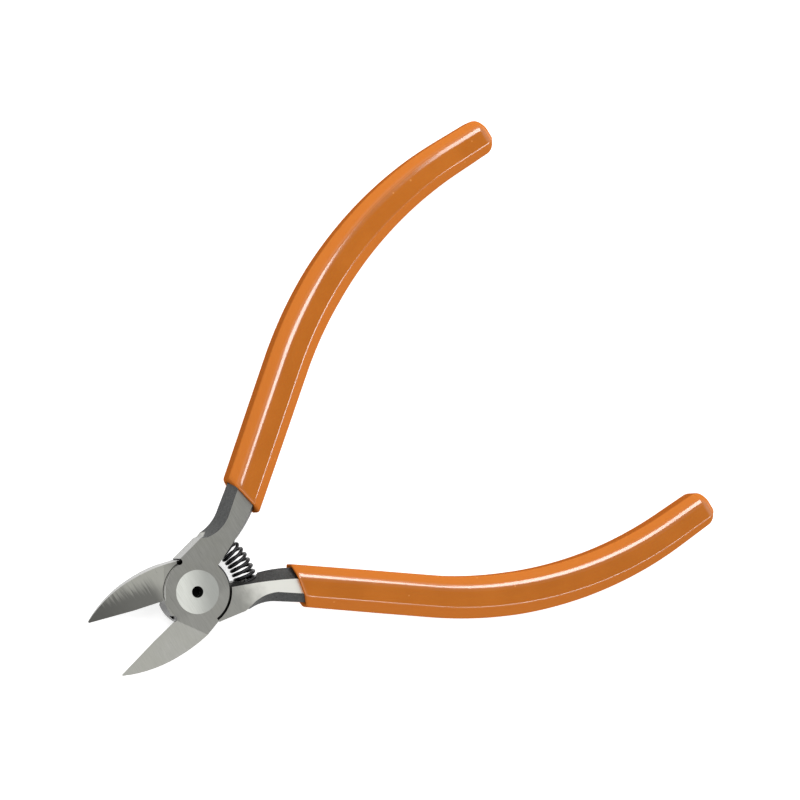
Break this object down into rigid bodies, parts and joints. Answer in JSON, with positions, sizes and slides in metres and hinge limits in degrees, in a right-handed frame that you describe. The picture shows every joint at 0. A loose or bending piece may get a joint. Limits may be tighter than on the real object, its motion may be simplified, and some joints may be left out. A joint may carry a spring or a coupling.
{
  "type": "diagonal cutting pliers",
  "caption": "Small diagonal cutting pliers with tapered jaws, a riveted lap joint, a coil return spring and dipped orange grips.",
  "frame": {"origin": "on the pivot axis at the back face of the head, which is the back end of the rivet", "axes": "+Y from the pivot to the jaw tips, midway between the two open jaws; +Z along the pivot axis to the front; the front half's handle is at +X and its jaw at -X"},
  "size_m": [0.1112, 0.1381, 0.0098],
  "materials": {
    "ground_steel": "satin ground faces with dark forged flanks",
    "rivet_steel": "turned flush, fine grind lines",
    "spring_wire": "blackened spring steel, slightly oily",
    "orange_vinyl": "glossy dipped vinyl"
  },
  "bodies": {
    "front": {"front_half": "ground_steel", "pivot_rivet": "rivet_steel", "return_spring": "spring_wire", "front_grip": "orange_vinyl"},
    "back": {"back_half": "ground_steel", "back_grip": "orange_vinyl"}
  },
  "joints": [
    {"name": "handle_pivot", "type": "hinge", "parent": "front", "child": "back", "pos_m": [0, 0, 0.0035], "axis": [0, 0, 1], "range_deg": [0, 33], "stiffness_Nm_per_rad": 0.15, "springref_deg": -22.92, "deforming": ["return_spring"]}
  ]
}
